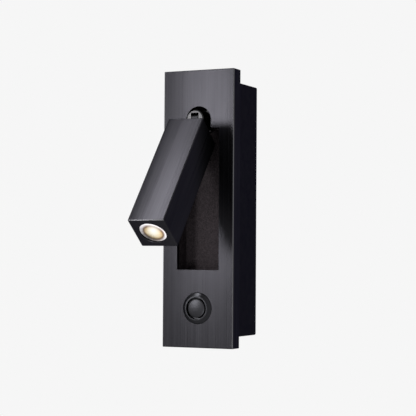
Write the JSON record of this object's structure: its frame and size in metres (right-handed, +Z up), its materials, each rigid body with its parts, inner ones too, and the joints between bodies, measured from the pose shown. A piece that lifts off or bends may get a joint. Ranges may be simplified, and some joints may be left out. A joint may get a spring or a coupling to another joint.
{
  "type": "wall reading lamp",
  "caption": "Slim recessed bedside reading lamp: square spot head on a friction hinge folds out of a brushed black faceplate with a push switch.",
  "frame": {"origin": "centre of the faceplate's back rim, on the wall's surface", "axes": "+X to the right seen from the room, +Y into the wall, +Z up"},
  "size_m": [0.056, 0.1398, 0.2],
  "materials": {
    "anodised_aluminium": "brushed, anodised near-black",
    "textured_paint": "sand-textured black paint",
    "black_steel": "satin powder coat",
    "zinc_steel": "zinc plated",
    "satin_steel": "turned, black-chromed",
    "dark_steel": "blackened steel",
    "spring_steel": "cold rolled",
    "switch_metal": "turned, anodised near-black",
    "brass": "turned",
    "copper_plated": "tinned contact",
    "rubber": "moulded",
    "nylon": "natural",
    "black_plastic": "moulded",
    "white_plastic": "moulded",
    "circuit_board": "solder mask",
    "white_board": "white solder mask on aluminium",
    "plain_aluminium": "machined",
    "ferrite": "taped winding",
    "clear_optic": "clear moulded optic",
    "brown_sleeve": "wire insulation",
    "blue_sleeve": "wire insulation",
    "green_sleeve": "wire insulation",
    "red_sleeve": "wire insulation",
    "led_phosphor": "warm white emitter, lit"
  },
  "bodies": {
    "housing": {"faceplate": "anodised_aluminium", "recess_tray": "textured_paint", "tray_screws": "zinc_steel", "backing_plate": "black_steel", "backing_screws": "zinc_steel", "back_box": "black_steel", "retaining_springs": "spring_steel", "spring_screws": "zinc_steel", "knuckle": "satin_steel", "knuckle_washer": "black_plastic", "knuckle_bush": "nylon", "disc_spring": "spring_steel", "knuckle_nut": "zinc_steel", "hinge_pin": "satin_steel", "friction_washers": "black_plastic", "switch_bezel": "switch_metal", "switch_seal": "rubber", "switch_nut": "zinc_steel", "switch_spring": "spring_steel", "switch_block": "black_plastic", "switch_terminals": "copper_plated", "driver_case": "white_plastic", "driver_lid": "white_plastic", "driver_board": "circuit_board", "driver_transformer": "ferrite", "driver_capacitors": "black_plastic", "driver_screws": "zinc_steel", "cable_grommet": "rubber", "terminal_block": "white_plastic", "terminal_screws": "brass", "terminal_fixing_screw": "zinc_steel", "earth_screw": "brass", "live_lead": "brown_sleeve", "neutral_lead": "blue_sleeve", "switched_lead": "brown_sleeve", "earth_lead": "green_sleeve", "output_leads": "red_sleeve"},
    "head": {"hinge_tongue": "dark_steel", "head_cap": "anodised_aluminium", "tongue_nut": "zinc_steel", "head_shell": "anodised_aluminium", "cap_screws": "dark_steel", "lens": "clear_optic", "lens_holder": "black_plastic", "led_emitter": "led_phosphor", "led_board": "white_board", "heat_sink": "plain_aluminium", "board_screws": "zinc_steel", "head_leads": "red_sleeve"},
    "button": {"switch_button": "switch_metal"}
  },
  "joints": [
    {"name": "head_tilt", "type": "hinge", "parent": "housing", "child": "head", "pos_m": [0, -0.0135, 0.0638], "axis": [-1, 0, 0], "range_deg": [-38.8, 51.2]},
    {"name": "button_press", "type": "slide", "parent": "housing", "child": "button", "axis": [0, 1, 0], "range_m": [0, 0.002], "stiffness_N_per_m": 600, "springref_m": -0.003, "deforming": ["switch_spring"]}
  ]
}
